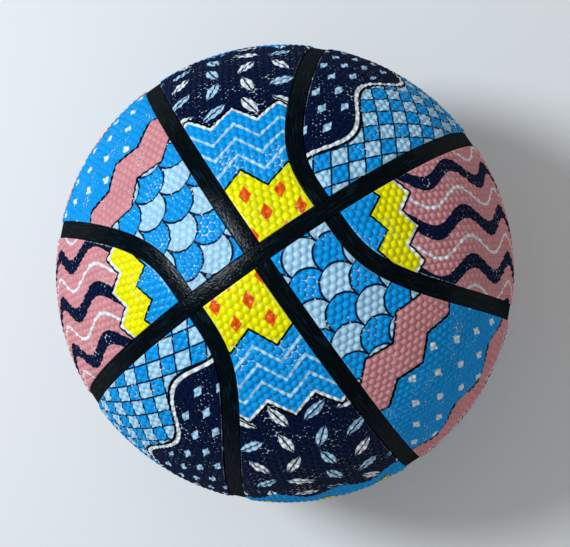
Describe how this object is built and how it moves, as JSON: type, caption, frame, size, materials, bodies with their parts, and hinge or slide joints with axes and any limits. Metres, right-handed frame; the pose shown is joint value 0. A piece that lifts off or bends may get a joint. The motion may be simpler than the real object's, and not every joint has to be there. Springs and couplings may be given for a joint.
{
  "type": "basketball",
  "caption": "Inflatable basketball with a printed, pebbled rubber cover in panels, recessed black seam strips, a wound bladder and a replaceable needle valve.",
  "frame": {"origin": "centre of the ball", "axes": "+Z through the seam crossing that faces up, +X along the long seam, +Y along the cross seam and out through the valve"},
  "size_m": [0.2398, 0.2398, 0.2396],
  "materials": {
    "cover_navy": "satin",
    "cover_blue": "satin",
    "cover_sky": "satin",
    "cover_pink": "satin",
    "seam_rubber": "satin",
    "carcass_rubber": "matte",
    "winding_thread": "matte",
    "bladder_rubber": "satin",
    "valve_rubber": "satin"
  },
  "bodies": {
    "ball": {"bladder": "bladder_rubber", "thread_winding": "winding_thread", "carcass": "carcass_rubber", "valve_housing": "valve_rubber", "long_seam_strip": "seam_rubber", "cross_seam_strip_front": "seam_rubber", "cross_seam_strip_back": "seam_rubber", "oval_seam_strip_right_back": "seam_rubber", "oval_seam_strip_right_front": "seam_rubber", "oval_seam_strip_left_back": "seam_rubber", "oval_seam_strip_left_front": "seam_rubber", "outer_panel_right_back": "cover_navy", "outer_panel_right_front": "cover_blue", "outer_panel_left_back": "cover_blue", "outer_panel_left_front": "cover_navy", "inner_panel_right_back": "cover_sky", "inner_panel_right_front": "cover_pink", "inner_panel_left_back": "cover_pink", "inner_panel_left_front": "cover_sky"},
    "valve": {"valve_plug": "valve_rubber"}
  },
  "joints": [
    {"name": "valve_plug_pull", "type": "slide", "parent": "ball", "child": "valve", "axis": [0, 1, 0], "range_m": [0, 0.02]}
  ]
}
